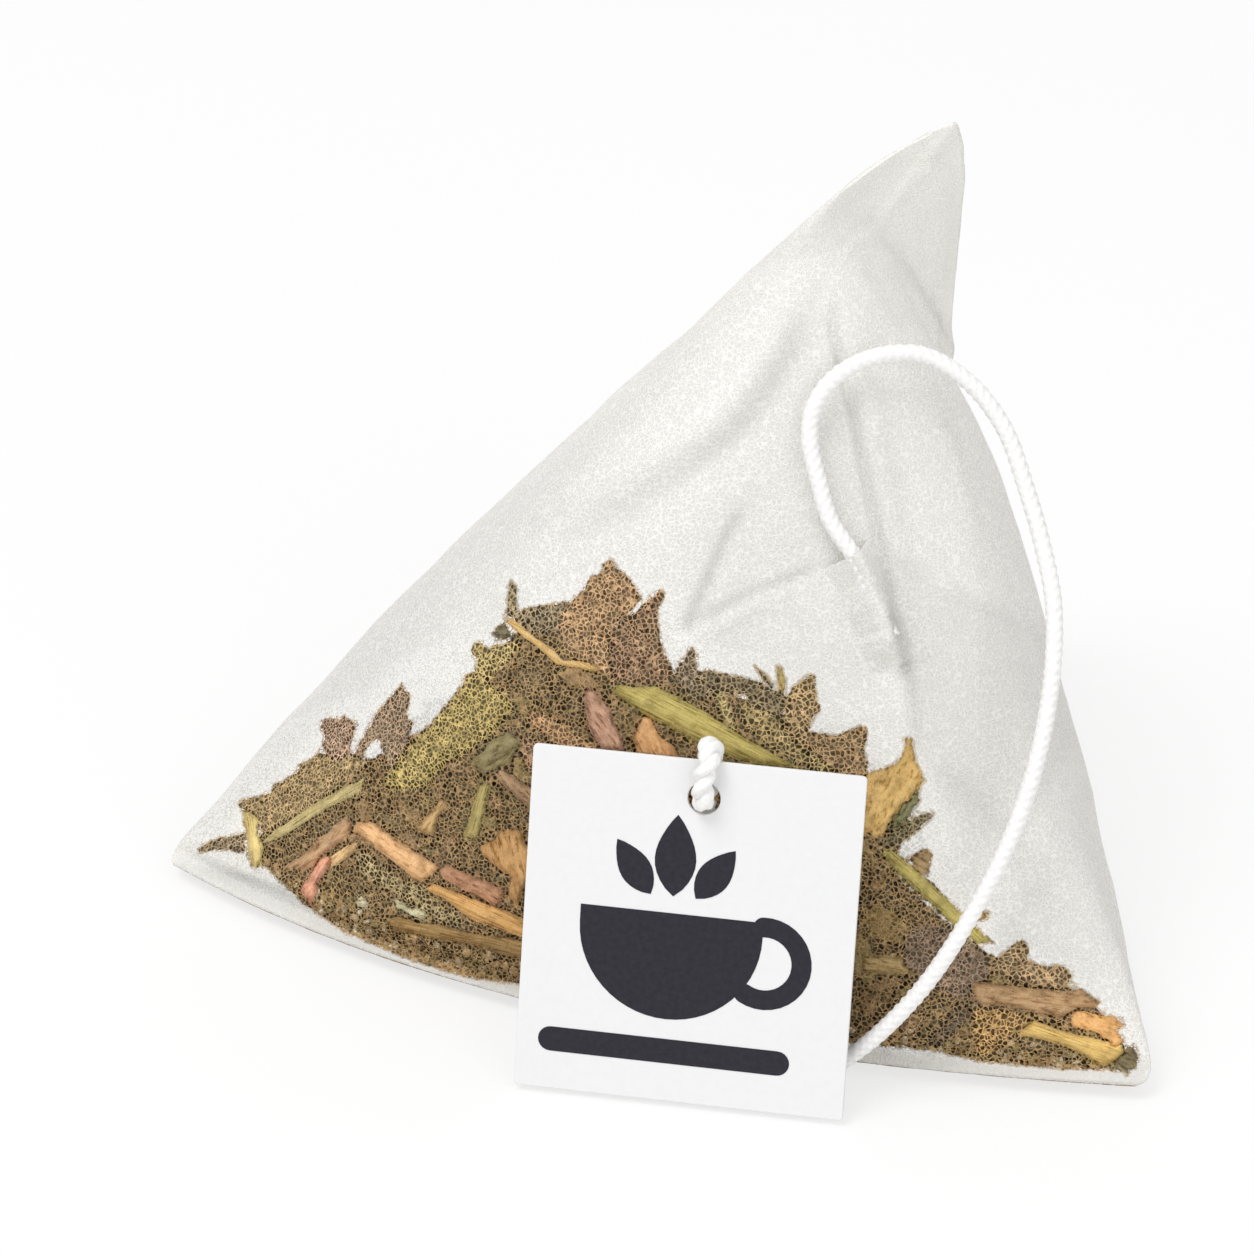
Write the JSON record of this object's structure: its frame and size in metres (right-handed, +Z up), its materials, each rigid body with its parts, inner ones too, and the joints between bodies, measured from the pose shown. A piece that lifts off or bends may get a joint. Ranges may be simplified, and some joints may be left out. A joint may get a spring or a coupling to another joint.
{
  "type": "pyramid tea bag",
  "caption": "Sealed pyramid bag of sheer white cloth filled with cut herbs, resting on a flat face, with a cotton string looped round to a square card tag in front of it.",
  "frame": {"origin": "centre of the footprint box of the bag on the floor, string and tag left out", "axes": "+X along the base seal, the bag's longest side; +Y from the base seal back to the rear corner; +Z up"},
  "size_m": [0.0626, 0.0583, 0.0504],
  "materials": {
    "cloth": "sheer heat-sealed nonwoven, translucent, matte",
    "cotton": "white twisted cotton yarn, soft and fuzzy",
    "card": "smooth white card with a dark printed pictogram, matte",
    "fines": "finely cut dry herbs, rough and matte",
    "orange_root": "dry orange root, matte",
    "olive_stem": "dry olive stem with fine ribs, matte",
    "green_stem": "dry green stem, matte",
    "pale_green_stem": "dry pale green stem, matte",
    "tan_stem": "dry tan stem, leaf or chip, matte",
    "pinkish_bark": "dry pinkish bark chip, matte",
    "brown_leaf": "dry brown leaf or bark, wrinkled and matte",
    "dark_leaf": "dry dark green leaf, wrinkled and matte",
    "pale_pith": "pale pith, matte"
  },
  "bodies": {
    "root": {"bag": "cloth", "herb_heap": "fines", "string": "cotton", "string_knot": "cotton", "tag": "card", "orange_stick": "orange_root", "large_olive_stem": "olive_stem", "long_olive_stem": "olive_stem", "thin_green_stem": "green_stem", "pink_chip": "pinkish_bark", "brown_chip": "brown_leaf", "dark_bark_chip": "brown_leaf", "tan_stem": "tan_stem", "low_olive_stem": "olive_stem", "green_sprig": "green_stem", "pale_bit": "pale_pith", "pointed_leaf": "brown_leaf", "brown_leaf_peak": "brown_leaf", "bent_tan_twig": "tan_stem", "dark_broad_leaf": "dark_leaf", "upright_twig": "olive_stem", "ragged_bits": "olive_stem", "spiked_leaf": "brown_leaf", "lobed_leaf": "brown_leaf", "left_leaf": "brown_leaf", "olive_stub": "olive_stem", "far_left_sprig": "dark_leaf", "tan_chip": "tan_stem", "green_stem_piece": "green_stem", "curled_tan_chip": "tan_stem", "brown_chip_behind_tag": "brown_leaf", "brown_leaf_bit": "brown_leaf", "pinkish_chip": "pinkish_bark", "orange_tan_chip": "orange_root", "small_spike": "dark_leaf", "yellow_stem_piece": "pale_green_stem", "ridge_leaf": "dark_leaf", "dark_leaf_piece": "dark_leaf", "short_twig": "olive_stem", "peaked_leaf": "brown_leaf", "right_ridge_leaf": "brown_leaf", "olive_stem_tip": "olive_stem", "tall_tan_leaf": "tan_stem", "dark_thin_leaf": "dark_leaf", "right_green_stem": "green_stem", "small_right_leaf": "brown_leaf", "brown_bark": "brown_leaf", "tan_leaf": "tan_stem", "pale_green_stem": "pale_green_stem", "folded_leaf": "tan_stem", "purple_leaf": "brown_leaf", "low_leaf": "brown_leaf", "back_stem": "olive_stem", "back_leaf": "brown_leaf", "back_tan_chip": "tan_stem", "rear_stem": "olive_stem", "rear_leaf": "brown_leaf"}
  },
  "joints": []
}
